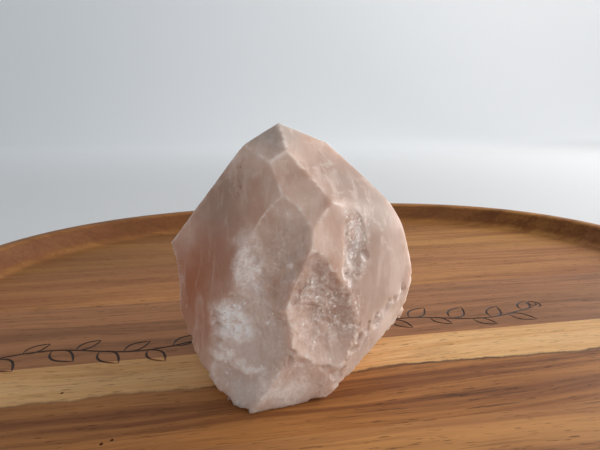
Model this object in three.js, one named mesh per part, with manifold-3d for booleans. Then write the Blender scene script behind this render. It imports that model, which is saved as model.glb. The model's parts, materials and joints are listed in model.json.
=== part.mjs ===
// A rough rose quartz point standing on an oval tray that is carved from an edge-glued wooden board.
// Units are millimetres, +Z is up. The origin is at the middle of the tray's underside.
// +X runs along the grain of the board, +Y runs across it, away from the front of the tray.

import * as THREE from "three";
import { mergeVertices } from "three/addons/utils/BufferGeometryUtils.js";
import Module from "manifold-3d";

const wasm = await Module();
wasm.setup();

// ---- Driving dimensions: the tray ----
const TRAY_LENGTH = 400; // along the grain
const TRAY_WIDTH = 286; // across the grain
const TRAY_HEIGHT = 20;
const FLOOR_THICKNESS = 8; // wood left under the well
const OVAL_POWER = 2.4; // 2 is an ellipse; more makes the sides fuller
const RIM_STEPS = 120; // straight steps round the oval
const GLUE_GAP = 0.3; // width of a glue line between two staves

// The board is glued up from staves; these are the glue lines, from the front of the tray to the rear.
const GLUE_LINES = [-105, -56, -6, 44, 94];
const STAVE_NAMES = [
  "front_stave",
  "sapwood_stave",
  "dark_stave",
  "pale_stave",
  "streaked_stave",
  "rear_stave",
];
const STAVE_COLOURS = [0x9a6b3c, 0x8a5a33, 0x5f3d26, 0x8d6038, 0x7a4f2e, 0x71482a];

// ---- Driving dimensions: the quartz point ----
const STONE_SPOT = new THREE.Vector3(-48, -64, FLOOR_THICKNESS + 0.3); // where it stands in the well
const STONE_TURN = -9.66; // degrees it is turned about the vertical
const STONE_CORE = new THREE.Vector3(12, 0, 36); // a point inside it, measured from the spot it stands on

// The outer faces of the point: [bearing, tilt, distance from the core].
// Bearing 0 faces the front, 90 the right; tilt is degrees above the horizon. Names say where a face lies.
const FACES = {
  left: [-37, 14, 21],
  tip: [-12, 52, 37.5],
  front: [8, 35, 30.7],
  shoulder: [56, 48, 34],
  right: [38, 9, 25.9],
  frontFoot: [18, -7, 29.8],
  rightFoot: [46, -9, 31.8],
  tipBack: [-118, 45, 36.7],
  leftShoulder: [-104, 40, 36.4],
  leftFlank: [-104, -20, 38.7],
  leftUnder: [-94, -28, 39.1],
  leftHeel: [-88, -50, 40.4],
  leftSole: [-91, -51, 40.6],
  rightRoof: [122, 40, 40.3],
  rightFlank: [106, 12, 40.6],
  rightEdge: [93, -4, 43.1],
  rightUnder: [95, -9, 43.2],
  rightHeel: [76, -49, 39.6],
  rightSole: [85, -57, 37.5],
  backRoof: [171, 60, 42.9],
  back: [180, 8, 31],
  backRight: [150, -2, 36],
  backLeft: [-145, -6, 36],
  sole: [0, -90, 36],
};

// Shell-shaped hollows broken out of the faces, each part of a long ball that is stretched along one line:
// [x, y, z of its middle, ball radius, stretch, bearing and tilt of the stretched line].
const HOLLOWS = {
  underRidge: [1, -34.9, 49.9, 20.7, 1.8, 81, 63],
  frontRight: [31.3, -44.9, 33.5, 26, 1.6, 110, -62],
  frontLeft: [-11.4, -42.4, 28.5, 27.8, 1.3, 61, -16],
  frontHeel: [-11, -43, 14.6, 22.6, 2.2, 59, 7],
  roughStrip: [37, -19.8, 47.3, 7.9, 2.4, -10, -76],
  backBreak: [2, 74, 26, 42, 1.5, 90, 30],
  backCorner: [56, 62, 22, 38, 1.3, 0, 80],
  leftBreak: [-60, 22, 12, 42, 1.2, 0, 60],
};

// ---- Solids ----
// Turns a closed three.js geometry into a manifold solid.
function toSolid(geometry) {
  geometry.deleteAttribute("normal");
  geometry.deleteAttribute("uv");
  const merged = mergeVertices(geometry, 1e-4);
  const corners = merged.index.array;
  const kept = [];
  for (let i = 0; i < corners.length; i += 3) {
    const [a, b, c] = [corners[i], corners[i + 1], corners[i + 2]];
    if (a !== b && b !== c && c !== a) kept.push(a, b, c);
  }
  const mesh = new wasm.Mesh({
    numProp: 3,
    vertProperties: Float32Array.from(merged.attributes.position.array),
    triVerts: Uint32Array.from(kept),
  });
  mesh.merge();
  return new wasm.Manifold(mesh);
}

// Turns a manifold solid into a named mesh with its own material.
function toMesh(solid, name, material) {
  const { vertProperties, triVerts } = solid.getMesh();
  const geometry = new THREE.BufferGeometry();
  geometry.setAttribute("position", new THREE.BufferAttribute(Float32Array.from(vertProperties), 3));
  geometry.setIndex(new THREE.BufferAttribute(Uint32Array.from(triVerts), 1));
  geometry.computeVertexNormals();
  const mesh = new THREE.Mesh(geometry, material);
  mesh.name = name;
  return mesh;
}

// Unit vector for a bearing and a tilt in degrees.
function direction(bearing, tilt) {
  const b = THREE.MathUtils.degToRad(bearing);
  const t = THREE.MathUtils.degToRad(tilt);
  return new THREE.Vector3(Math.sin(b) * Math.cos(t), -Math.cos(b) * Math.cos(t), Math.sin(t));
}

// Places a geometry whose own `axis` is to point along `heading`, with its middle at `middle`.
function placed(geometry, axis, heading, middle) {
  const turn = new THREE.Quaternion().setFromUnitVectors(axis, heading);
  geometry.applyQuaternion(turn);
  return geometry.translate(middle.x, middle.y, middle.z);
}

// ---- The quartz point ----
const Y_AXIS = new THREE.Vector3(0, 1, 0);
const Z_AXIS = new THREE.Vector3(0, 0, 1);
const BLOCK = 130; // side of the rough block, and of the boxes that cut its faces

let stone = toSolid(
  new THREE.BoxGeometry(BLOCK, BLOCK, BLOCK).translate(STONE_CORE.x, STONE_CORE.y, STONE_CORE.z),
);

for (const [bearing, tilt, distance] of Object.values(FACES)) {
  const outward = direction(bearing, tilt);
  const middle = STONE_CORE.clone().addScaledVector(outward, distance + BLOCK);
  const cutter = new THREE.BoxGeometry(BLOCK * 2, BLOCK * 2, BLOCK * 2);
  stone = stone.subtract(toSolid(placed(cutter, Z_AXIS, outward, middle)));
}

for (const [x, y, z, radius, stretch, bearing, tilt] of Object.values(HOLLOWS)) {
  const ball = new THREE.SphereGeometry(radius, 56, 36).scale(1, stretch, 1);
  stone = stone.subtract(toSolid(placed(ball, Y_AXIS, direction(bearing, tilt), new THREE.Vector3(x, y, z))));
}

const stoneMesh = toMesh(
  stone,
  "rose_quartz_point",
  new THREE.MeshStandardMaterial({ color: 0xd9a9a0, roughness: 0.32, metalness: 0 }),
);
stoneMesh.geometry.rotateZ(THREE.MathUtils.degToRad(STONE_TURN));
stoneMesh.geometry.translate(STONE_SPOT.x, STONE_SPOT.y, STONE_SPOT.z);

// ---- The tray blank ----
// Section through the rim: x is the distance inward from the outermost edge, y the height.
// It runs from the middle of the underside, out and up round the rim, then down the wall to the floor.
const HALF_LENGTH = TRAY_LENGTH / 2;
const section = new THREE.Path();
section.moveTo(HALF_LENGTH, 0);
section.lineTo(13, 0);
section.quadraticCurveTo(10.4, 0, 9, 2); // foot edge
section.lineTo(1, 13.6); // outer wall leans out
section.quadraticCurveTo(0, 15.2, 0, 16.8);
section.quadraticCurveTo(0, TRAY_HEIGHT, 3.2, TRAY_HEIGHT); // rounded outer edge
section.lineTo(5.6, TRAY_HEIGHT); // flat top of the rim
section.quadraticCurveTo(8.2, TRAY_HEIGHT, 9.4, 17.8); // rounded inner edge
section.lineTo(13.4, 11.6); // sloping wall of the well
section.quadraticCurveTo(16, FLOOR_THICKNESS, 20.5, FLOOR_THICKNESS); // cove into the floor
section.lineTo(HALF_LENGTH, FLOOR_THICKNESS);

// A round lathe turning of that section, then each ring is pulled into the oval at its own inward distance.
const rings = section.getPoints(5).map((p) => new THREE.Vector2(HALF_LENGTH - p.x, p.y));
const turned = new THREE.LatheGeometry(rings, RIM_STEPS).rotateX(Math.PI / 2);
const points = turned.attributes.position;

// Signed power, for the oval's fuller sides.
function fuller(value) {
  return Math.sign(value) * Math.abs(value) ** (2 / OVAL_POWER);
}

for (let i = 0; i < points.count; i += 1) {
  const radius = Math.hypot(points.getX(i), points.getY(i));
  if (radius < 0.001) continue;
  const inward = HALF_LENGTH - radius;
  const alongGrain = fuller(points.getX(i) / radius) * (HALF_LENGTH - inward);
  const acrossGrain = fuller(points.getY(i) / radius) * (TRAY_WIDTH / 2 - inward);
  points.setXY(i, alongGrain, acrossGrain);
}
const blank = toSolid(turned);

// ---- The staves ----
const edges = [-TRAY_WIDTH, ...GLUE_LINES, TRAY_WIDTH];
const staves = STAVE_NAMES.map((name, i) => {
  const width = edges[i + 1] - edges[i] - GLUE_GAP;
  const slab = new THREE.BoxGeometry(TRAY_LENGTH * 1.2, width, TRAY_HEIGHT * 4);
  slab.translate(0, (edges[i] + edges[i + 1]) / 2, 0);
  const wood = new THREE.MeshStandardMaterial({ color: STAVE_COLOURS[i], roughness: 0.5, metalness: 0 });
  return toMesh(blank.intersect(toSolid(slab)), name, wood);
});

const group = new THREE.Group();
group.name = "rose_quartz_point_on_wooden_tray";
group.add(stoneMesh, ...staves);

export default group;
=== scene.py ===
# %% [markdown]
# # A rose quartz point on a wooden tray
#
# The object is a raw, hand-sized rose quartz point that stands in a shallow oval tray. The stone has flat
# faces round its tip, like a cut jewel, and shell-shaped breaks low on its front. The tray is glued up
# from six boards of acacia and oiled, and a vine is burnt into its floor as decoration.
#
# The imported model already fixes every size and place. This lesson loads it, then builds a finer surface
# over each of its solids, and gives every surface a finish made from nodes alone.

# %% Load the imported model
import json
import math
import random

import bmesh
import bpy
import numpy as np
from mathutils import Matrix, Vector, noise


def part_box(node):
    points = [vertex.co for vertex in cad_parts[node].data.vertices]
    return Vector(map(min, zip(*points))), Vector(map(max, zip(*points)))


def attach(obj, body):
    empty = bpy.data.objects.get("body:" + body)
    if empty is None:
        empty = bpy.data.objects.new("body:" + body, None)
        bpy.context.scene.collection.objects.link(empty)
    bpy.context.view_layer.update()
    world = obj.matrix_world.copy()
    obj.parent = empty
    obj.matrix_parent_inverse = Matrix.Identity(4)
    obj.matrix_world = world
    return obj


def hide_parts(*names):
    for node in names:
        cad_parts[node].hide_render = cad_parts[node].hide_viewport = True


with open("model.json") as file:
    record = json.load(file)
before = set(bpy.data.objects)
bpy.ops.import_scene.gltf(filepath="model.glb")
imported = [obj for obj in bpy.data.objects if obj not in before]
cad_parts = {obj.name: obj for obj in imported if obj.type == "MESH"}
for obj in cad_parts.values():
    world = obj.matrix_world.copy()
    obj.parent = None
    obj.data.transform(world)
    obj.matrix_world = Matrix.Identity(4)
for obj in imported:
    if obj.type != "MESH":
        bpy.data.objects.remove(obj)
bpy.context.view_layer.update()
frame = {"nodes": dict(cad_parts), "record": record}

MM = 0.001
print("solids in the packed model:", sorted(frame["nodes"]))

# %% [markdown]
# ## The camera
#
# The stone is seen from close by and slightly above, so its front nearly fills the height of the view and
# the tray runs out of it on both sides. A short lens close to the stone gives that strong perspective. A
# long lens from further off would flatten the tray into a thin stripe.

# %% Camera
scene = bpy.context.scene
camera = bpy.data.objects.new("camera", bpy.data.cameras.new("camera"))
camera.data.lens = 27
camera.data.sensor_width = 36
camera.location = (-0.0564, -0.211, 0.0984)
camera.rotation_euler = (math.radians(90 - 14.98), 0, math.radians(-9.66))
scene.collection.objects.link(camera)
scene.camera = camera
scene.view_settings.view_transform = "Standard"
away = round(camera.location.length * 1000)
print("camera:", round(camera.data.lens), "mm lens,", away, "mm from the tray's middle")

# %% [markdown]
# ## The floor, the backdrop and the light
#
# A pale sheet that curves up behind the tray serves as floor and wall at once, so there is no line where
# they meet. It is one strip, bent along a quarter circle. The light is that of a room with one big window
# on the right: a large soft lamp on that side, a weak one in front so that the shaded face doesn't go
# black, and a pale sky all round.

# %% Floor, backdrop and light
BEND_STEPS = 16
LAMP_SPREAD = math.radians(110)


def add_sweep(width, front, back, height, bend):
    """A floor that turns up into a wall along a quarter circle."""
    profile = [(front, 0.0)]
    for step in range(BEND_STEPS + 1):
        angle = math.radians(90 * step / BEND_STEPS)
        profile.append((back - bend + bend * math.sin(angle), bend - bend * math.cos(angle)))
    profile.append((back, height))
    points = [(side * width / 2, y, z) for y, z in profile for side in (-1, 1)]
    quads = [(2 * i, 2 * i + 1, 2 * i + 3, 2 * i + 2) for i in range(len(profile) - 1)]
    mesh = bpy.data.meshes.new("sweep")
    mesh.from_pydata(points, [], quads)
    mesh.polygons.foreach_set("use_smooth", [True] * len(quads))
    sweep = bpy.data.objects.new("sweep", mesh)
    scene.collection.objects.link(sweep)
    return sweep


def add_lamp(name, place, target, size, power, colour):
    """A soft rectangular lamp at place that faces target."""
    lamp = bpy.data.lights.new(name, "AREA")
    lamp.shape = "RECTANGLE"
    lamp.size = size[0]
    lamp.size_y = size[1]
    lamp.energy = power
    lamp.spread = LAMP_SPREAD
    lamp.color = colour
    lamp_object = bpy.data.objects.new(name, lamp)
    lamp_object.location = place
    lamp_object.rotation_euler = (Vector(target) - Vector(place)).to_track_quat("-Z", "Y").to_euler()
    lamp_object.visible_camera = False
    scene.collection.objects.link(lamp_object)


sweep = add_sweep(width=9, front=-4, back=1.5, height=3, bend=0.5)
add_lamp("window", (1.05, 0.02, 0.42), (-0.03, 0, 0.03), (1.2, 0.75), 7.8, (1, 0.97, 0.94))
add_lamp("fill", (-0.3, -1.6, 0.85), (-0.05, 0, 0.03), (1.5, 1.1), 4, (1, 0.98, 0.96))

# %% [markdown]
# ## Writing shader maths as Python
#
# A finish here is a small sum of patterns: stretched noise for fibres, soft spots for stains, masks
# between two colours. Wiring such sums by hand takes a line for each node. Instead, one small class wraps
# a node's output, and its operators add the Math nodes. Colours go through a Mix node, and every other
# kind of node comes from the same `node` method.

# %% The Field class
class Field:
    """A value that changes over a surface: one output of a shader node."""

    def __init__(self, tree, socket=None):
        self.tree = tree
        self.socket = socket

    def node(self, kind, settings=(), sockets=(), output=0):
        """Adds a node, with its settings first and then the values or links of its sockets."""
        made = self.tree.nodes.new(kind)
        for name, value in dict(settings).items():
            setattr(made, name, value)
        for name, value in dict(sockets).items():
            if isinstance(value, Field):
                self.tree.links.new(value.socket, made.inputs[name])
            else:
                made.inputs[name].default_value = value
        return Field(self.tree, made.outputs[output])

    def maths(self, operation, *values):
        """A Math node over the given values, which may be numbers or Fields."""
        return self.node("ShaderNodeMath", {"operation": operation}, dict(enumerate(values)))

    def __add__(self, other):
        return self.maths("ADD", self, other)

    def __sub__(self, other):
        return self.maths("SUBTRACT", self, other)

    def __mul__(self, other):
        return self.maths("MULTIPLY", self, other)

    def __pow__(self, other):
        return self.maths("POWER", self, other)

    def __rsub__(self, other):
        return self.maths("SUBTRACT", other, self)

    __radd__ = __add__
    __rmul__ = __mul__

    def absolute(self):
        return self.maths("ABSOLUTE", self)

    def fraction(self):
        return self.maths("FRACT", self)

    def between(self, low, high):
        """0 below low and 1 above high, with a soft step between. With low above high it falls instead."""
        sockets = {"Value": self, "From Min": low, "From Max": high}
        return self.node("ShaderNodeMapRange", {"interpolation_type": "SMOOTHSTEP"}, sockets)

    def mixed(self, below, above):
        """The colour below where this mask is 0, and above where it is 1."""
        return self.node("ShaderNodeMix", {"data_type": "RGBA"}, {0: self, 6: below, 7: above}, output=2)


def colour(code):
    """A colour code such as C1A090 as the linear colour that the shader wants."""
    parts = [int(code[i:i + 2], 16) / 255 for i in (0, 2, 4)]
    linear = [c / 12.92 if c < 0.04045 else ((c + 0.055) / 1.055) ** 2.4 for c in parts]
    return (*linear, 1)


def new_finish(name):
    """An empty material, with the Field that its first nodes come from."""
    material = bpy.data.materials.new(name)
    material.use_nodes = True
    material.node_tree.nodes.clear()
    return material, Field(material.node_tree)


def shade(start, **sockets):
    """The surface shader. Spaces in its socket names are written here as underscores."""
    named = {name.replace("_", " "): value for name, value in sockets.items()}
    surface = start.node("ShaderNodeBsdfPrincipled", {}, named)
    output = start.tree.nodes.new("ShaderNodeOutputMaterial")
    start.tree.links.new(surface.socket, output.inputs["Surface"])


def split(place):
    """The x, y and z of a place as three Fields."""
    parts = place.tree.nodes.new("ShaderNodeSeparateXYZ")
    place.tree.links.new(place.socket, parts.inputs[0])
    return [Field(place.tree, output) for output in parts.outputs]


print("numbers and Fields now mix freely, as in 1 - mask * 0.5")

# %% [markdown]
# ## The finish of the backdrop
#
# A painted wall behind a table is lit by its own window, a little brighter towards the right. So the
# sheet is a plain pale paint, and its far end glows faintly by itself, more on the right than on the
# left. The sky that shines in from all round is pale at the horizon and dimmer overhead, as in a room
# that is lit from its sides.

# %% Backdrop and sky
backdrop, start = new_finish("pale_backdrop")
x, y, z = split(start.node("ShaderNodeTexCoord", output="Object"))
glow = x.between(-0.9, 1.2).mixed((0.135, 0.15, 0.16, 1), (0.49, 0.49, 0.492, 1))
glow = y.between(0.2, 1.0).mixed((0, 0, 0, 1), glow)
shade(start, Base_Color=(0.70, 0.71, 0.72, 1), Roughness=0.9, Emission_Color=glow, Emission_Strength=1.0)
sweep.data.materials.append(backdrop)
world = bpy.data.worlds.new("room")
world.use_nodes = True
room = Field(world.node_tree)
upward = split(room.node("ShaderNodeTexCoord", output="Generated"))[2]
sky = upward.between(0.0, 0.9).mixed((0.34, 0.36, 0.38, 1), (0.16, 0.18, 0.20, 1))
world.node_tree.links.new(sky.socket, world.node_tree.nodes["Background"].inputs["Color"])
scene.world = world
print("backdrop and sky finished")

# %% [markdown]
# ## Places on a surface
#
# Both finishes are laid out in millimetres, so that a 2 mm fibre is a 2 in the node. Object coordinates
# give metres from the object's own origin, and a Vector Math node scales them. `patch` makes one soft
# spot: the distance from its middle in units of its own three radii, turned into a mask.

# %% Millimetre coordinates, noise and soft spots
def in_mm(start):
    """Object coordinates in millimetres."""
    place = start.node("ShaderNodeTexCoord", output="Object")
    return place.node("ShaderNodeVectorMath", {"operation": "SCALE"}, {0: place, "Scale": 1000})


def rippled(place, size, detail=2, roughness=0.5, stretch=(1, 1, 1), shift=(0, 0, 0), swirl=0):
    """Noise from 0 to 1 in lumps about size millimetres wide, longer where stretch is over 1."""
    lumps = place.node(
        "ShaderNodeMapping",
        {"vector_type": "POINT"},
        {"Vector": place, "Location": shift, "Scale": tuple(1 / (size * s) for s in stretch)},
    )
    return place.node(
        "ShaderNodeTexNoise",
        {},
        {"Vector": lumps, "Scale": 1, "Detail": detail, "Roughness": roughness, "Distortion": swirl},
    )


def patch(place, middle, radii, soft=0.6):
    """A mask that is 1 in the middle of a soft spot and 0 outside its radii, in millimetres."""
    away = place.node("ShaderNodeVectorMath", {"operation": "SUBTRACT"}, {0: place, 1: middle})
    share = place.node("ShaderNodeVectorMath", {"operation": "DIVIDE"}, {0: away, 1: radii})
    distance = place.node("ShaderNodeVectorMath", {"operation": "LENGTH"}, {0: share}, output="Value")
    return distance.between(1, 1 - soft)


def bumped(height, depth_mm, strength=1.0, under=None):
    """A bump whose full height is depth_mm. It may lie on top of another bump."""
    sockets = {"Height": height, "Distance": depth_mm * MM, "Strength": strength}
    if under is not None:
        sockets["Normal"] = under
    return height.node("ShaderNodeBump", {}, sockets)


print("coordinates run in millimetres")

# %% [markdown]
# ## The stone's faces and hollows
#
# Under its flaws the stone is a set of flat faces round a core, with shell-shaped hollows knocked out of
# the front where it was broken from the rock. A ray from the core outwards leaves through the nearest
# face, or goes into a hollow first. That one distance, asked in every direction, is the whole shape, so
# no modelling by hand is needed, and any number of small chips can be added the same way. The numbers
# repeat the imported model's: for a face, the compass bearing that it looks to (0 is the front, 90 the
# right), its tilt up, and how far it is from the core. For a hollow, the middle of a long ball, its
# radius, how long it is drawn out, and which way.

# %% Faces and hollows
CORE = np.array([12.0, 0.0, 36.0])
STONE_SPOT = (-48, -64)
STONE_TURN = -9.66
FACES = {
    "left": (-37, 14, 21), "tip": (-12, 52, 37.5), "front": (8, 35, 30.7), "shoulder": (56, 48, 34),
    "right": (38, 9, 25.9), "front_foot": (18, -7, 29.8), "right_foot": (46, -9, 31.8),
    "tip_back": (-118, 45, 36.7), "left_shoulder": (-104, 40, 36.4), "left_flank": (-104, -20, 38.7),
    "left_under": (-94, -28, 39.1), "left_heel": (-88, -50, 40.4), "left_sole": (-91, -51, 40.6),
    "right_roof": (122, 40, 40.3), "right_flank": (106, 12, 40.6), "right_edge": (93, -4, 43.1),
    "right_under": (95, -9, 43.2), "right_heel": (76, -49, 39.6), "right_sole": (85, -57, 37.5),
    "back_roof": (171, 60, 42.9), "back": (180, 8, 31), "back_right": (150, -2, 36),
    "back_left": (-145, -6, 36), "sole": (0, -90, 36),
}
HOLLOWS = {
    "under_ridge": (1, -34.9, 49.9, 20.7, 1.8, 81, 63),
    "front_right": (31.3, -44.9, 33.5, 26, 1.6, 110, -62),
    "front_left": (-11.4, -42.4, 28.5, 27.8, 1.3, 61, -16),
    "front_heel": (-11, -43, 14.6, 22.6, 2.2, 59, 7),
    "rough_strip": (37, -19.8, 47.3, 7.9, 2.4, -10, -76), "back_break": (2, 74, 26, 42, 1.5, 90, 30),
    "back_corner": (56, 62, 22, 38, 1.3, 0, 80), "left_break": (-60, 22, 12, 42, 1.2, 0, 60),
}
FAR = 500.0


def heading(bearing, tilt):
    """The direction of a compass bearing and a tilt, in degrees."""
    b = math.radians(bearing)
    t = math.radians(tilt)
    return np.array([math.sin(b) * math.cos(t), -math.cos(b) * math.cos(t), math.sin(t)])


def out_of_face(rays, normal, distance):
    """How far each ray from the core runs before it leaves through a flat face."""
    toward = rays @ normal
    return np.where(toward > 0.02, distance / np.maximum(toward, 0.02), FAR)


def into_ball(rays, middle, radius, stretch, axis):
    """How far each ray from the core runs before it enters a ball drawn out along an axis."""
    squeeze = np.eye(3) + (1 / stretch - 1) * np.outer(axis, axis)
    step = rays @ squeeze
    offset = squeeze @ (CORE - middle)
    a = (step * step).sum(1)
    b = step @ offset
    c = offset @ offset - radius * radius
    inside = b * b - a * c
    entry = (-b - np.sqrt(np.maximum(inside, 0))) / a
    return np.where((inside > 0) & (entry > 0), entry, FAR)


print(len(FACES), "faces and", len(HOLLOWS), "hollows")

# %% [markdown]
# ## A mesh of directions
#
# The distances need a mesh to sit on. A ball made of rings bunches its points at the poles, where they
# are no use. A cube whose six sides are fine grids, blown up into a ball, spreads them evenly. Pushing
# every direction a little towards the front then crowds the points on the broken side, which has the fine
# detail.

# %% Directions
GRID = 126
CROWDING = 0.34


def blown_cube(steps):
    """Directions on a ball from a cube's six grids, and the quads that join them."""
    count = steps + 1
    ticks = np.arange(count)
    u, v = np.meshgrid(ticks, ticks, indexing="ij")
    flat = np.zeros_like(u)
    quads = []
    corners = []
    for axis in range(3):
        for side in (0, steps):
            sheet = [u, v]
            sheet.insert(axis, flat + side)
            corners.append(np.stack(sheet, -1).reshape(-1, 3))
            index = np.arange(count ** 2).reshape(count, count) + len(quads) * count ** 2
            around = [index[:-1, :-1], index[1:, :-1], index[1:, 1:], index[:-1, 1:]]
            quad = np.stack(around, -1).reshape(-1, 4)
            outward = (side == 0) == (axis == 1)
            quads.append(quad if outward else quad[:, ::-1])
    lattice, merged = np.unique(np.concatenate(corners), axis=0, return_inverse=True)
    quads = merged.reshape(-1)[np.concatenate(quads)]
    cube = np.tan((lattice / steps * 2 - 1) * math.pi / 4)
    return cube / np.linalg.norm(cube, axis=1)[:, None], quads


rays, stone_quads = blown_cube(GRID)
rays = rays + CROWDING * np.array([0.0, -1.0, 0.0])
rays = rays / np.linalg.norm(rays, axis=1)[:, None]
print(len(rays), "directions,", len(stone_quads), "quads")

# %% [markdown]
# ## The main shape, with edges that are not razor sharp
#
# Taking the nearest surface alone would give perfectly sharp edges, which no stone that was ever handled
# has. A soft minimum rounds them. Its softness changes slowly over the stone, so some stretches of an
# edge stay crisp and others are worn, as on the real one. The gap between the nearest surface and the
# second nearest is kept as well, because it says how close a point is to an edge. Each hollow's distance
# also gets a slow waviness of its own, so that its rim wanders as a torn edge does. Two places are rubbed
# nearly round: a stretch of the left ridge, and the corner between the shoulder and the right face.

# %% Main shape
RIM_WANDER = 0.9


def fractal(points, size, octaves=3, seed=0.0):
    """Soft noise, about -1 to 1, with lumps about size millimetres wide."""
    shift = Vector((seed, seed * 1.7, -seed))
    return np.array([noise.fractal(Vector(p) / size + shift, 1.0, 2.0, octaves) for p in points])


def gaussian(points, middle, radii):
    """A bell-shaped share: 1 in the middle, and about a third one radius away."""
    return np.exp(-(((points - np.array(middle)) / np.array(radii)) ** 2).sum(axis=1))


exits = [out_of_face(rays, heading(b, t), d) for b, t, d in FACES.values()]
exits += [into_ball(rays, np.array(m[:3]), m[3], m[4], heading(*m[5:])) for m in HOLLOWS.values()]
exits = np.array(exits)
on_ball = CORE + rays * 30
for number, row in enumerate(exits[len(FACES):]):
    row += RIM_WANDER * fractal(on_ball, 7, 4, seed=50 + number)
ranked = np.sort(exits, axis=0)
nearest = exits.argmin(axis=0)
gap = ranked[1] - ranked[0]
rough_place = CORE + rays * ranked[0][:, None]
softness = 0.15 + 0.12 * fractal(rough_place, 9, seed=3)
worn = gaussian(rough_place, (-6, -11, 52), (6, 6, 12))
blunt = gaussian(rough_place, (44, -6, 57), (15, 13, 9))
softness = np.clip(softness, 0.05, 0.4) + 0.9 * worn + 2.4 * blunt
softness = softness * np.interp(rough_place[:, 2], [68, 78], [1, 0.25])
distance = ranked[0] - softness * np.log(np.exp(-(exits - ranked[0]) / softness).sum(axis=0))
print("the surface is", round(float(distance.min())), "to", round(float(distance.max())), "mm from the core")

# %% [markdown]
# ## Which parts are broken
#
# The faces round the tip are smooth, as the crystal or the seller's polishing left them. The hollows and
# the foot are fresh breaks, and the strip on the right face and the middle of the front are sugary, made
# of many small crystals. Each point gets a share of both. The broken share is averaged with that of the
# neighbours, so it fades out, and the sugary one comes from soft spots. Both are kept on the mesh for the
# finish to use.

# %% Broken and sugary shares
BREAK_SHARE = {
    "front_foot": 0.9, "right_foot": 0.5, "under_ridge": 0.45, "front_right": 0.8, "front_left": 0.9,
    "front_heel": 0.9, "rough_strip": 0.7, "back_break": 0.9, "back_corner": 0.8, "left_break": 0.7,
    "left_heel": 0.8, "left_sole": 0.9, "right_heel": 0.8, "right_sole": 0.9, "sole": 0.9,
    "back_roof": 0.3, "back": 0.3, "back_right": 0.4, "back_left": 0.4, "right_edge": 0.3,
    "right_under": 0.4, "left_under": 0.3,
}
SUGAR_SPOTS = [
    ((34, -12, 50), (7, 8, 15)), ((23, -21, 34), (10, 8, 9)), ((28, -18, 26), (7, 8, 8)),
    ((-6, -15, 24), (7, 8, 7)), ((33, -16, 32), (6, 7, 9)),
]
surface_names = list(FACES) + list(HOLLOWS)
sides = np.concatenate([stone_quads[:, [0, 1]], stone_quads[:, [1, 2]]])
pairs = np.unique(np.sort(sides, axis=1), axis=0)
neighbours = np.bincount(pairs.ravel(), minlength=len(rays))


def spread(values, rounds):
    """Values averaged with those of the neighbouring points, several times over."""
    for _ in range(rounds):
        total = np.bincount(pairs[:, 0], values[pairs[:, 1]], len(rays))
        total += np.bincount(pairs[:, 1], values[pairs[:, 0]], len(rays))
        values = (values + total) / (1 + neighbours)
    return values


def spot(points, middle, radii):
    """1 in the middle of a soft spot, 0 outside it."""
    away = np.linalg.norm((points - np.array(middle)) / np.array(radii), axis=1)
    return np.clip(1.5 * (1 - away), 0, 1)


broken = spread(np.array([BREAK_SHARE.get(name, 0.0) for name in surface_names])[nearest], 4)
stirred = rough_place + 4.0 * np.stack([fractal(rough_place, 6, 3, s) for s in (41, 42, 43)], axis=1)
sugar = np.max([spot(stirred, middle, radii) for middle, radii in SUGAR_SPOTS], axis=0)
sugar = sugar * np.clip(0.75 + 0.8 * fractal(rough_place, 5, seed=8), 0, 1)
print("share of broken points:", round(float((broken > 0.4).mean()), 2))
print("share of sugary points:", round(float((sugar > 0.3).mean()), 2))

# %% [markdown]
# ## Chips along the edges
#
# Corners of quartz lose small flakes, and each flake leaves a small flat. So a chip is one more plane,
# laid across an edge so that it bites a fraction of a millimetre deep, and felt only by the points close
# by. The seed is fixed, so the same chips come back each time. Most fall on the broken lower part and the
# right edge, few on the ridges that lead up to the tip, and none on the tip itself.

# %% Edge chips
CHIPS = 260
chooser = random.Random(12)
on_edge = np.flatnonzero((gap < 0.6) & (rough_place[:, 2] < 74))
chip_count = 0
while chip_count < CHIPS:
    start_ray = chooser.choice(on_edge)
    at = rough_place[start_ray]
    frail = 0.04 + 0.9 * (at[2] < 26) + 0.4 * (at[0] > 44)
    if chooser.random() > frail:
        continue
    chip_count += 1
    reach = chooser.uniform(1.0, 3.2)
    depth = chooser.uniform(0.02, 0.07) * reach
    slant = np.array([chooser.uniform(-1, 1) for _ in range(3)]) * 0.55
    facing = rays[start_ray] + slant
    facing = facing / np.linalg.norm(facing)
    close = np.flatnonzero(np.linalg.norm(rough_place - at, axis=1) < reach)
    plane = out_of_face(rays[close], facing, (at - CORE) @ facing - depth)
    fading = 0.8 * np.clip(np.linalg.norm(rough_place[close] - at, axis=1) / reach - 0.5, 0, 1)
    distance[close] = np.minimum(distance[close], plane + fading)
print(chip_count, "chips")

# %% [markdown]
# ## Breaks: facets, ripples and crumbs
#
# A fresh break in quartz is not evenly rough. It is a patchwork of small planes with steps between them,
# with ripples that run round the point where the blow fell, like those on a shell. The patchwork comes
# from cells: each cell tilts its own way, so a step appears where two cells meet. The noise that tilts
# them takes its offsets from the clock unless it is given a seed, and with a seed each run makes the
# same stone. Everything is cut inwards, so the stone never grows out of its packed box.

# %% Facets and ripples
LEAN_SEED = 5
noise.seed_set(LEAN_SEED)


def facets(points, size, tilt, where, seed=0):
    """Cuts that make small planes about size millimetres wide, wherever the share isn't zero."""
    cuts = np.zeros(len(points))
    for i in np.flatnonzero(where > 0.02):
        place = Vector(points[i]) / size + Vector((seed, seed, seed))
        cell = noise.voronoi(place)[1][0]
        lean = noise.noise_vector(cell * 7.3)
        cuts[i] = (place - cell).dot(lean) + 0.4 * noise.noise(cell * 3.1) + 0.25
    return np.maximum(cuts, 0) * size * tilt * where


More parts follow.
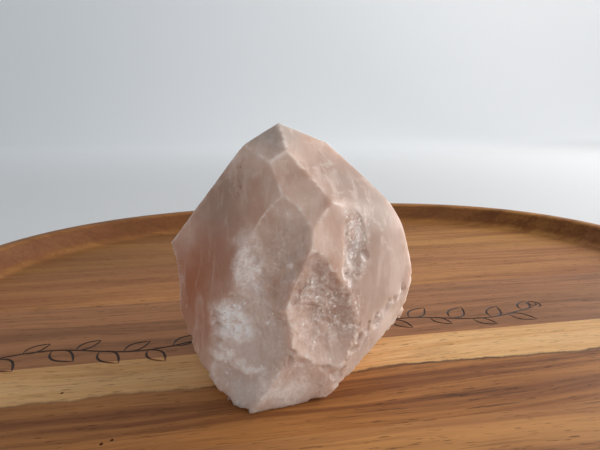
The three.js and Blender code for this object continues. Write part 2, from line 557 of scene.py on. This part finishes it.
def ripples(points, source, spacing, depth, where):
    """Rings round the point where a blow fell."""
    away = np.linalg.norm(points - np.array(source), axis=1)
    wobble = fractal(points, 8, seed=5) * spacing * 0.8
    return depth * np.sin((away + wobble) * 2 * math.pi / spacing) * where


BLOWS = {"under_ridge": (14, -16, 58), "front_right": (34, -18, 48), "front_left": (-6, -14, 34)}
DEEPEST_CUT = 2.2
wavy = rough_place + 1.2 * np.stack([fractal(rough_place, 4, 2, s) for s in (21, 22, 23)], axis=1)
cut = facets(wavy, 12, 0.08, broken, seed=2)
cut += facets(wavy, 4, 0.10, np.clip(broken * 0.35 + sugar, 0, 1), seed=9)
cut += facets(wavy, 1.6, 0.20, np.clip(broken * 0.25 + sugar, 0, 1), seed=4)
for name, source in BLOWS.items():
    share = spread((nearest == surface_names.index(name)).astype(float), 4)
    cut += ripples(rough_place, source, 3.4, 0.06, share)
cut += 0.08 * fractal(rough_place, 16, 2, seed=30) + 0.03 * fractal(rough_place, 2.2, 3, seed=31) * broken
distance = distance - np.clip(cut, 0, DEEPEST_CUT)
stone_points = CORE + rays * distance[:, None]
stone_points[:, 2] = np.maximum(stone_points[:, 2], 0.0)
print("cuts up to", round(float(cut.max()), 2), "mm deep")

# %% [markdown]
# ## The stone as an object
#
# The mesh goes where the imported stone stands, turned by the same angle. It rides on the only body and
# takes the place of the plain imported solid.

# %% Stone object
def add_mesh(name, points, polygons):
    """A new mesh object from points in metres."""
    mesh = bpy.data.meshes.new(name)
    mesh.from_pydata([tuple(p) for p in points], [], [tuple(q) for q in polygons])
    mesh.polygons.foreach_set("use_smooth", [True] * len(mesh.polygons))
    mesh.update()
    piece = bpy.data.objects.new(name, mesh)
    scene.collection.objects.link(piece)
    return piece


def keep_share(piece, name, values):
    """Stores one number for each point, for the finish to read."""
    attribute = piece.data.attributes.new(name, "FLOAT", "POINT")
    attribute.data.foreach_set("value", values.astype(np.float32))


STONE_LIFT = 0.15
floor_height = frame["record"]["mounts"][1]["pos_m"][2]
stone = add_mesh("rose_quartz_surface", stone_points * MM, stone_quads)
stone.location = (STONE_SPOT[0] * MM, STONE_SPOT[1] * MM, floor_height + STONE_LIFT * MM)
stone.rotation_euler = (0, 0, math.radians(STONE_TURN))
keep_share(stone, "broken", broken)
keep_share(stone, "sugar", sugar)
keep_share(stone, "edge", np.exp(-gap / 0.9) * (1 - np.minimum(1, 1.6 * (worn + blunt))))
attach(stone, "root")
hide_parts("rose_quartz_point")
packed_low, packed_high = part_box("rose_quartz_point")
top = max((stone.matrix_world @ v.co).z for v in stone.data.vertices)
left_end = min((stone.matrix_world @ v.co).x for v in stone.data.vertices)
print("packed top", round(packed_high.z * 1000, 1), "mm, this top", round(top * 1000, 1), "mm")
print("packed left end", round(packed_low.x * 1000, 1), "mm, this one", round(left_end * 1000, 1), "mm")

# %% [markdown]
# ## The finish of the quartz
#
# Rose quartz is cloudy: light goes in, wanders and comes out pink. True glass settings would be slow and
# noisy, so the light that wanders is left to subsurface scattering, with a thin gloss on top. The colour
# is laid in layers: a pinkish beige body, soft stains, milky veils, white frosting where the stone is torn,
# paler edges, a few hair-thin seams and some rust specks. Some soft spots are painted shade, not stains:
# orange-brown low in the left face, where its shade and the brown of the wood seen through the stone are
# painted in, grey-brown shade under the tip, and darker patches on the shoulder where the light falls
# strongly. The paler edges are partly the whiteness of chipped quartz and partly a painted highlight. The
# stains, painted shade and frosted spots are lists of soft spots: a middle and three radii in millimetres,
# a colour and a strength. The smooth faces have a satin gloss, and on the breaks tiny facets catch the
# light one by one, helped by near-white painted glints.

# %% Quartz finish
STAINS_AND_PAINTED_SHADE = [
    ((45, -12, 38), (46, 42, 64), "AC9284", 0.8), ((0, -18, 22), (20, 14, 26), "DCC6BA", 0.5),
    # Painted shade: both orange-brown spots on the next line paint the left face's shade and the brown of
    # the wood seen through the stone.
    ((-21, -5, 34), (22, 19, 27), "A25E38", 0.9), ((-10, -9, 47), (17, 14, 20), "9A6247", 0.65),
    # Painted shade: the first spot on the next line is grey-brown shade under the tip.
    ((-12, -3, 62), (24, 16, 20), "8E7264", 0.65), ((-15, -12, 20), (9, 9, 10), "A8694A", 0.5),
    ((10, -20, 33), (6, 8, 9), "B08468", 0.6), ((22, -22, 44), (8, 7, 6), "A87B62", 0.6),
    ((6, -24, 5), (24, 14, 9), "C6BDB8", 0.8), ((49, -3, 34), (9, 9, 22), "D8C4B7", 0.6),
    ((9, 0, 82), (18, 16, 13), "A2958D", 0.8), ((17, -14, 60), (10, 9, 11), "E4CABB", 0.9),
    # Painted shade: the second spot on the next line dims the strong light on the corner of the shoulder and
    # the right face.
    ((38, -12, 52), (14, 13, 18), "967A6A", 0.75), ((42, -6, 60), (15, 14, 11), "786052", 0.75),
    # Painted shade: the second spot on the next line darkens the shoulder, which faces up into the light.
    ((33, -19, 38), (7, 7, 8), "9C8070", 0.6), ((33, -2, 65), (34, 26, 22), "947A6C", 0.95),
    ((45, -8, 18), (8, 8, 9), "E6D5CA", 0.7),
]
FROSTED = [
    ((0, -15, 43), (8, 9, 13), "F8F0EC", 1.0), ((12.9, -19, 43.6), (2.2, 2.6, 3), "F2ECE8", 1.0),
    ((-5, -15, 23), (11, 9, 11), "FFFCFA", 1.0), ((0, -20, 12.8), (20, 11, 2.6), "FAF5F2", 1.0),
    ((12, -27, 7), (12, 8, 7), "F6F0EC", 0.8), ((34, -12, 50), (7, 8, 12), "F0E6E0", 0.45),
]


def quartz_finish():
    """Cloudy pink stone, satin on its faces and frosted where it is broken."""
    material, start = new_finish("rose_quartz")
    place = in_mm(start)
    share_broken = start.node("ShaderNodeAttribute", {"attribute_name": "broken"}, output="Fac")
    share_sugar = start.node("ShaderNodeAttribute", {"attribute_name": "sugar"}, output="Fac")
    share_edge = start.node("ShaderNodeAttribute", {"attribute_name": "edge"}, output="Fac")
    clouds = rippled(place, 22, 4, 0.55, swirl=0.6)
    veils = rippled(place, 8, 5, 0.6, stretch=(0.5, 1, 2.4), shift=(3, 1, 2), swirl=0.8)
    fine = rippled(place, 0.9, 5, 0.7)
    lumpy = rippled(place, 4, 4, 0.6, shift=(1, 6, 2), swirl=0.5)

    body = clouds.between(0.32, 0.68).mixed(colour("BC9682"), colour("CDB1A1"))
    sway = {"Vector": place, "Scale": 0.11, "Detail": 6, "Roughness": 0.6}
    drift = place.node("ShaderNodeTexNoise", {}, sway, output="Color")
    swayed = {0: drift, 1: (14, 14, 14), 2: place}
    drift = place.node("ShaderNodeVectorMath", {"operation": "MULTIPLY_ADD"}, swayed)
    drift = place.node("ShaderNodeVectorMath", {"operation": "SUBTRACT"}, {0: drift, 1: (7, 7, 7)})
    for middle, radii, code, strength in STAINS_AND_PAINTED_SHADE:
        body = (patch(drift, middle, radii, 0.9) * strength).mixed(body, colour(code))
    body = (veils.between(0.48, 0.72) * 0.34).mixed(body, colour("DCC8BE"))

    slanted = {0: drift, "Rotation": (0, 0.7, 0.4)}
    turned = place.node("ShaderNodeVectorRotate", {"rotation_type": "EULER_XYZ"}, slanted)
    hackle = rippled(turned, 0.7, 4, 0.65, stretch=(9, 2, 1), shift=(4, 4, 1))
    powder = lumpy.between(0.42, 0.62) * fine.between(0.40, 0.62)
    powder = powder + hackle.between(0.55, 0.72) * 0.45
    torn = 0.2 + hackle.between(0.38, 0.62) * 0.35 + fine.between(0.35, 0.65) * 0.2
    torn = torn + lumpy.between(0.35, 0.65) * 0.35
    frost_and_edge_highlight = share_broken * (powder + torn) * 0.4 + share_sugar * powder * 0.75
    # The edge term added here is partly the whiteness of chipped quartz and partly a painted highlight along
    # the ridges.
    frost_and_edge_highlight = frost_and_edge_highlight + share_edge ** 2 * lumpy.between(0.4, 0.6) * 0.5
    body = (frost_and_edge_highlight * 0.9).mixed(body, colour("E2D6CF"))
    for middle, radii, code, strength in FROSTED:
        body = (patch(drift, middle, radii, 0.8) * torn * strength).mixed(body, colour(code))
    # Paler edges: partly chipped whiteness, partly a painted highlight along the ridges.
    body = (share_edge.between(0.45, 1.0) * lumpy.between(0.45, 0.65) * 0.32).mixed(body, colour("EFE4DC"))
    sheet = rippled(drift, 26, 2, 0.45, stretch=(1, 1, 1.6), shift=(3, 9, 4), swirl=0.4)
    thread = 1 - (sheet - 0.5).absolute().between(0.0, 0.020)
    body = (thread * lumpy.between(0.45, 0.6) * 0.16).mixed(body, colour("EFE4DD"))
    cracks = rippled(place, 5, 3, 0.6, shift=(7, 7, 7), swirl=1.2)
    seam = (1 - (cracks - 0.5).absolute().between(0.0, 0.022)) * share_sugar
    body = (seam * 0.6).mixed(body, colour("B67C66"))
    speckle = rippled(place, 1.3, 3, 0.6, shift=(5, 2, 9)).between(0.52, 0.62)
    rust = patch(place, (-2.4, -5.7, 69.9), (1.6, 6, 2.6)) + patch(place, (-3, -6.9, 64.4), (2, 6, 4))
    body = (speckle * rust * 0.8).mixed(body, colour("7E4634"))

    facet = place.node("ShaderNodeTexVoronoi", {}, {"Vector": place, "Scale": 0.9}, output="Color")
    glints = facet.node("ShaderNodeSeparateColor", {}, {0: facet})
    flake = place.node("ShaderNodeTexVoronoi", {}, {"Vector": place, "Scale": 1.5}, output="Color")
    flake = flake.node("ShaderNodeSeparateColor", {}, {0: flake}, output=1).between(0.90, 0.94)
    painted_glint_and_gloss = flake * (share_sugar * 0.6 + share_broken * lumpy.between(0.55, 0.62) * 0.8)
    # Painted glints: near-white colour where a small facet would catch the light; the same mask also lowers
    # the roughness.
    body = painted_glint_and_gloss.mixed(body, colour("FFFAF6"))
    rough = 0.44 + fine * 0.12 - painted_glint_and_gloss * 0.3 - share_broken * 0.04
    rough = rough - share_sugar * glints.between(0.7, 0.9) * 0.3
    swell = bumped(clouds, 1.2, 0.35)
    crumbly = fine * (0.08 + share_broken * 0.5) + (lumpy + hackle) * share_broken * 0.5
    crumbs = bumped(crumbly, 0.4, 0.55, under=swell)
    sparkle = bumped(glints * (share_sugar * 0.6 + share_broken * 0.08), 0.4, 0.6, under=crumbs)
    shade(
        start, Base_Color=body, Roughness=rough, Normal=sparkle, IOR=1.5, Specular_IOR_Level=0.42,
        Subsurface_Weight=0.85, Subsurface_Radius=(1.0, 0.88, 0.80), Subsurface_Scale=0.007,
        Coat_Weight=(1 - share_broken) * 0.05, Coat_Roughness=0.2,
    )
    return material


stone.data.materials.append(quartz_finish())
print("quartz finish:", len(stone.data.materials[0].node_tree.nodes), "nodes")

# %% [markdown]
# ## The tray's boards
#
# The tray is a fat oval, cut from a board of six glued staves, so the grain runs straight through it and
# changes at each joint. One section is carried round the oval: flat underside, leaning outer wall,
# rounded rim and a hollowed inner wall that runs out into the floor. The whole tray is made once as a
# closed mesh and then cut at each joint. That gives every stave its share of rim and floor with exact
# edges.

# %% Tray section and oval
TRAY_HALF = (200, 143)
OVAL_POWER = 2.4
ROUND_STEPS = 300
JOINTS = [-143, -105, -56, -6, 44, 94, 143]
GAP = 0.05
STAVES = ["front_stave", "sapwood_stave", "dark_stave", "pale_stave", "streaked_stave", "rear_stave"]


def curve_between(start, pull, end, steps):
    """Points of a curve from start to end that leans towards pull, without its first point."""
    made = []
    for step in range(1, steps + 1):
        t = step / steps
        corners = zip(start, pull, end)
        made.append(tuple((1 - t) ** 2 * a + 2 * t * (1 - t) * b + t * t * c for a, b, c in corners))
    return made


def tray_section():
    """The tray's section from its underside to its floor, as (distance in from the rim, height)."""
    section = [(13, 0)]
    section += curve_between((13, 0), (10.4, 0), (9, 2), 5)
    section += [(1, 13.6)]
    section += curve_between((1, 13.6), (0, 15.2), (0, 16.8), 5)
    section += curve_between((0, 16.8), (0, 20), (3.2, 20), 8)
    section += [(5.6, 20)]
    section += curve_between((5.6, 20), (8.2, 20), (9.4, 17.8), 8)
    section += [(13.4, 11.6)]
    section += curve_between((13.4, 11.6), (16, 8), (20.5, 8), 10)
    return section


def oval_ring(inset, height):
    """One ring of the tray, inset from its rim."""
    half_length, half_width = TRAY_HALF
    ring = []
    for step in range(ROUND_STEPS):
        angle = 2 * math.pi * step / ROUND_STEPS
        fuller = [math.copysign(abs(v) ** (2 / OVAL_POWER), v) for v in (math.cos(angle), math.sin(angle))]
        x = fuller[0] * (half_length - inset)
        y = fuller[1] * (half_width - inset)
        ring.append((x * MM, y * MM, height * MM))
    return ring


def whole_tray():
    """The closed tray as a bmesh."""
    body = bmesh.new()
    rings = [[body.verts.new(p) for p in oval_ring(*corner)] for corner in tray_section()]
    for low, high in zip(rings, rings[1:]):
        for i in range(ROUND_STEPS):
            j = (i + 1) % ROUND_STEPS
            body.faces.new((low[i], low[j], high[j], high[i]))
    body.faces.new(rings[0][::-1])
    body.faces.new(rings[-1])
    return body


def cut_stave(name, near, far):
    """The part of the tray between two joints, closed along the cuts."""
    body = whole_tray()
    for y, keep_far in ((near, True), (far, False)):
        if abs(y) >= TRAY_HALF[1]:
            continue
        geometry = body.verts[:] + body.edges[:] + body.faces[:]
        gap_side = GAP / 2 if keep_far else -GAP / 2
        made = bmesh.ops.bisect_plane(
            body, geom=geometry, plane_co=(0, (y + gap_side) * MM, 0), plane_no=(0, 1, 0),
            clear_inner=keep_far, clear_outer=not keep_far,
        )
        rim = [e for e in made["geom_cut"] if isinstance(e, bmesh.types.BMEdge)]
        bmesh.ops.edgeloop_fill(body, edges=rim)
    bmesh.ops.recalc_face_normals(body, faces=body.faces[:])
    mesh = bpy.data.meshes.new(name)
    body.to_mesh(mesh)
    body.free()
    piece = bpy.data.objects.new(name, mesh)
    scene.collection.objects.link(piece)
    return piece


staves = {}
for name, near, far in zip(STAVES, JOINTS, JOINTS[1:]):
    staves[name] = cut_stave(name + "_wood", near, far)
    print(name, len(staves[name].data.polygons), "faces")

# %% [markdown]
# ## The burnt vine and the pin knots
#
# The decoration is drawn with a hot pen: a fine groove, dark with scorch, in an even hand. Here it is a
# trailing vine with open leaves. Each pen stroke is a thin tube laid half in the floor, and taking it
# away from the boards with a Boolean leaves a real groove. The tube carries the scorched finish, and the
# Boolean hands that on to the groove's walls. Three pin holes, as wood beetles leave them, are drilled
# the same way.

# %% Pen strokes
PEN_RADIUS = 0.62
PEN_HEIGHT = 8.34
VINE_START = -150
VINE_END = 84
LEAVES = [-143, -134, -124, -115, -106, -97, -88, -79, 12, 21, 30, 39, 48, 57, 66, 75]
LEAF_STEPS = 16
CURL_STEPS = 29
TUBE_SIDES = 8
PIN_HOLES = [(-111.2, -72.9, 0.5), (-93, -99, 0.55), (-90.4, -97.9, 0.5)]


def vine_height(x):
    """How far back the vine runs at x: a slow wave."""
    return -45.5 + 3.2 * math.sin(x / 11.5) + 0.022 * (x + 30)


def leaf_side(x, side, length, lean, swing):
    """One side of a leaf that grows from the vine at x. swing is 1 for its upper side, -1 for its lower."""
    base = Vector((x, vine_height(x)))
    along = Vector((math.cos(lean), side * math.sin(lean)))
    across = Vector((-along.y, along.x)) * swing
    points = []
    for step in range(LEAF_STEPS + 1):
        reach = step / LEAF_STEPS
        width = 0.24 * length * math.sin(math.pi * reach ** 0.8)
        points.append(base + along * length * (0.04 + 0.96 * reach) + across * width)
    return points


def curl(x, side, size):
    """A tendril that winds in on itself."""
    base = Vector((x, vine_height(x)))
    points = []
    for step in range(CURL_STEPS + 1):
        t = step / CURL_STEPS
        angle = -0.5 * math.pi + 2.6 * math.pi * t
        radius = size * (1 - 0.72 * t)
        outward = size * 0.9 + radius * math.cos(angle)
        upward = side * (size + radius * math.sin(angle))
        points.append(base + Vector((outward, upward)))
    return points


def tube(points):
    """A thin tube along points on the floor, as wide as the pen and finer at both ends."""
    body = bmesh.new()
    count = len(points)
    rings = []
    for i, point in enumerate(points):
        ahead = (points[min(i + 1, count - 1)] - points[max(i - 1, 0)]).normalized()
        aside = Vector((-ahead.y, ahead.x))
        press = PEN_RADIUS * min(1, 0.62 + 0.13 * min(i, count - 1 - i))
        ring = []
        for step in range(TUBE_SIDES):
            angle = 2 * math.pi * (step + 0.5) / TUBE_SIDES
            flat = point + aside * math.cos(angle) * press
            height = PEN_HEIGHT + math.sin(angle) * press
            ring.append(body.verts.new((flat.x * MM, flat.y * MM, height * MM)))
        rings.append(ring)
    for one, other in zip(rings, rings[1:]):
        for i in range(TUBE_SIDES):
            j = (i + 1) % TUBE_SIDES
            body.faces.new((one[i], one[j], other[j], other[i]))
    body.faces.new(rings[0][::-1])
    body.faces.new(rings[-1])
    bmesh.ops.recalc_face_normals(body, faces=body.faces[:])
    return body


def pin_hole(x, y, radius):
    """A small round hole in the floor."""
    body = bmesh.new()
    bmesh.ops.create_cone(
        body, cap_ends=True, segments=12, radius1=radius * MM, radius2=radius * MM, depth=4 * MM,
        matrix=Matrix.Translation((x * MM, y * MM, 8 * MM)),
    )
    return body


vine = [Vector((x, vine_height(x))) for x in np.arange(VINE_START, VINE_END, 1.5)]
strokes = [vine]
for turn, x in enumerate(LEAVES):
    side = 1 if turn % 2 else -1
    length = 12 + 2 * math.sin(x)
    lean = math.radians(42 + 8 * math.cos(x))
    for swing in (1, -1):
        strokes.append(leaf_side(x, side, length, lean, swing))
strokes.append(curl(VINE_END - 3, 1, 3.4))
cutters = [tube(points) for points in strokes]
cutters += [pin_hole(*numbers) for numbers in PIN_HOLES]
print(len(strokes), "pen strokes and", len(PIN_HOLES), "pin holes")

# %% [markdown]
# ## The finish of the wood
#
# Acacia is streaky. Wide bands of honey and brown run the length of a board, thin dark lines follow the
# growth rings and wander a little, and short dark dashes are the open pores. All of it is noise that is
# stretched along the grain by different amounts, and the ring lines are the contours of such a noise.
# Every steep wall is darker: end grain at the tray's ends drinks more oil, and the rest is painted shade.
# The boards at the back also darken towards the left, as painted shade where the window's light falls off.
# Each board passes its own two tones, and the sapwood board adds its pale band with an uneven lower edge.
# That board's tones are partly a painted shadow, darkened for the stone's shadow that falls on it.

# %% Wood finish
def wood_finish(name, light, dark, shift, streaks, band=None):
    """Oiled acacia in two tones. band is the near and far edge of a sapwood stripe, in millimetres."""
    material, start = new_finish(name)
    place = in_mm(start)
    x, y, z = split(place)
    wander = (rippled(place, 34, 2, 0.5, stretch=(4, 1, 1), shift=shift) - 0.5) * 16
    bent = start.node("ShaderNodeCombineXYZ", {}, {0: x, 1: y + wander, 2: z})
    bands = rippled(bent, 9, 3, 0.5, stretch=(22, 1, 1), shift=shift)
    narrow = rippled(bent, 2.1, 4, 0.65, stretch=(45, 1, 1), shift=shift)
    rings = rippled(bent, 17, 2, 0.5, stretch=(10, 1, 1), shift=shift) * 9
    line = 1 - ((rings.fraction() - 0.5).absolute() * 2).between(0, 0.26)
    here = rippled(place, 16, 3, 0.6, stretch=(5, 1, 1), shift=(shift[2], 3, shift[0])).between(0.42, 0.66)
    streak = rippled(bent, 1.1, 4, 0.65, stretch=(36, 1, 1), shift=(shift[1], 6, 2)).between(0.56, 0.64)
    streak = streak * (0.25 + here * 0.75)
    fibres = rippled(bent, 0.5, 4, 0.7, stretch=(30, 1, 1), shift=shift)
    pores = rippled(bent, 0.55, 2, 0.6, stretch=(12, 1, 1), shift=(shift[0] + 4, 2, 3))
    pores = pores.between(0.61, 0.70)

    tone = (bands * 0.55 + narrow * 0.45).between(0.36, 0.64).mixed(colour(dark), colour(light))
    tone = (line * streaks * 0.3 * here).mixed(tone, colour("4A2F1E"))
    tone = (streak * streaks).mixed(tone, colour("4B2D1B"))
    if band is not None:
        ragged = (rippled(place, 5, 5, 0.6, stretch=(5, 60, 1), shift=(2, 8, 4)) - 0.5) * 8
        inside = (y + ragged).between(band[0] - 0.8, band[0] + 0.8)
        inside = inside * (y + ragged * 0.15).between(band[1] + 0.4, band[1])
        sap = (bands * 0.5 + narrow * 0.5).between(0.38, 0.62).mixed(colour("D9A266"), colour("EABB82"))
        sap = (line * 0.2 + streak * 0.3).mixed(sap, colour("97653A"))
        tone = inside.mixed(tone, sap)
        border = 1 - (y + ragged - band[0]).absolute().between(0.1, 1.1)
        tone = (border * (0.3 + here * 0.6)).mixed(tone, colour("3E271A"))
    tone = (fibres.between(0.40, 0.70) * 0.28).mixed(tone, colour(dark))
    tone = (pores * 0.55).mixed(tone, colour("3A2416"))
    # Painted shade: the boards at the back darken towards the left, where the window's light falls off.
    painted_left_shade = y.between(-30, 60) * x.between(70, -170)
    tone = (painted_left_shade * 0.55).mixed(tone, colour("5E3C27"))
    normal = start.node("ShaderNodeNewGeometry", output="Normal")
    nx, ny, nz = split(normal)
    # Every steep wall darkens: end grain drinks more oil at the tray's ends, and the rest is painted shade.
    wall = (1 - nz.absolute()).between(0.03, 0.45) * z.between(8, 8.6)
    across = rippled(place, 1.1, 3, 0.7, stretch=(1, 1, 5), shift=shift)
    tone = (wall * (0.40 + across * 0.4)).mixed(tone, colour("562D16"))

    relief = fibres * 0.4 - pores * 0.8 - streak * 0.2
    gloss = 0.46 + fibres * 0.16 + pores * 0.2
    grain = bumped(relief, 0.12, 0.5)
    shade(start, Base_Color=tone, Roughness=gloss, Normal=grain, IOR=1.46, Specular_IOR_Level=0.22)
    return material


def scorch_finish():
    """The brown-black of a hot pen. On the pale sapwood a stroke's shallow edge is only toasted."""
    material, start = new_finish("scorched_wood")
    place = in_mm(start)
    soot = rippled(place, 1.4, 3, 0.6)
    x, y, z = split(place)
    on_sapwood = y.between(-55.6, -56.4) * z.between(7.3, 7.7)
    char = soot.between(0.35, 0.65).mixed(colour("2E1B10"), colour("45291A"))
    toast = soot.between(0.35, 0.65).mixed(colour("7A4420"), colour("8E5328"))
    burnt = on_sapwood.mixed(char, toast)
    shade(start, Base_Color=burnt, Roughness=0.55 + soot * 0.3, Normal=bumped(soot, 0.15, 0.5))
    return material


WOODS = {
    "front_stave": ("stave_light", "C98F54", "A26B40", (12, 3, 2), 0.5, None),
    # The sapwood board's tones are partly painted shadow: darkened for the stone's shadow that falls on this
    # board.
    "sapwood_stave": ("stave_sapwood", "B87C45", "7F4D2B", (6, 1, 5), 0.85, (-77, -56)),
    "dark_stave": ("stave_dark", "B0784F", "845839", (2, 9, 1), 0.6, None),
    "pale_stave": ("stave_light", "BE844E", "986037", (8, 4, 7), 0.45, None),
    "streaked_stave": ("stave_medium", "C08849", "965F32", (3, 7, 4), 0.5, None),
    "rear_stave": ("stave_medium", "B67C44", "8A5A2E", (5, 2, 8), 0.5, None),
}
scorched = scorch_finish()
for name, (slot, light, dark, shift, streaks, band) in WOODS.items():
    staves[name].data.materials.append(wood_finish(name + "_oiled", light, dark, shift, streaks, band))
    staves[name].data.materials.append(scorched)
print(len(WOODS), "boards finished")

# %% [markdown]
# ## Cutting the strokes into the boards
#
# Every stroke is subtracted from every board that it touches, one after another, because strokes cross
# and a cutter that crosses itself can confuse the Boolean. Then each board is shaded smooth up to its
# hard corners, except on its level floor and its cut sides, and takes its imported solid's place.

# %% Engrave and place the boards
LEVEL = 0.9999
CORNER = math.radians(35)


def engrave(board, body, near, far):
    """Takes one cutter away from a board, if it reaches that board at all."""
    depths = [v.co.y / MM for v in body.verts]
    if max(depths) < near or min(depths) > far:
        return
    mesh = bpy.data.meshes.new("stroke")
    body.to_mesh(mesh)
    mesh.materials.append(scorched)
    cutter = bpy.data.objects.new("stroke", mesh)
    scene.collection.objects.link(cutter)
    groove = board.modifiers.new("groove", "BOOLEAN")
    groove.operation = "DIFFERENCE"
    groove.solver = "EXACT"
    groove.material_mode = "TRANSFER"
    groove.object = cutter
    shaped = board.evaluated_get(bpy.context.evaluated_depsgraph_get())
    cut_mesh = bpy.data.meshes.new_from_object(shaped)
    board.modifiers.clear()
    if len(cut_mesh.polygons) < len(board.data.polygons):
        print("a stroke failed on", board.name)
    else:
        board.data = cut_mesh
    bpy.data.objects.remove(cutter)


for (name, board), near, far in zip(staves.items(), JOINTS, JOINTS[1:]):
    for body in cutters:
        engrave(board, body, near, far)
    rounded = [max(abs(c) for c in p.normal) < LEVEL for p in board.data.polygons]
    board.data.polygons.foreach_set("use_smooth", rounded)
    board.data.set_sharp_from_angle(angle=CORNER)
    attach(board, "root")
    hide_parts(name)
    print(board.name, len(board.data.polygons), "faces,", len(board.data.materials), "finishes")
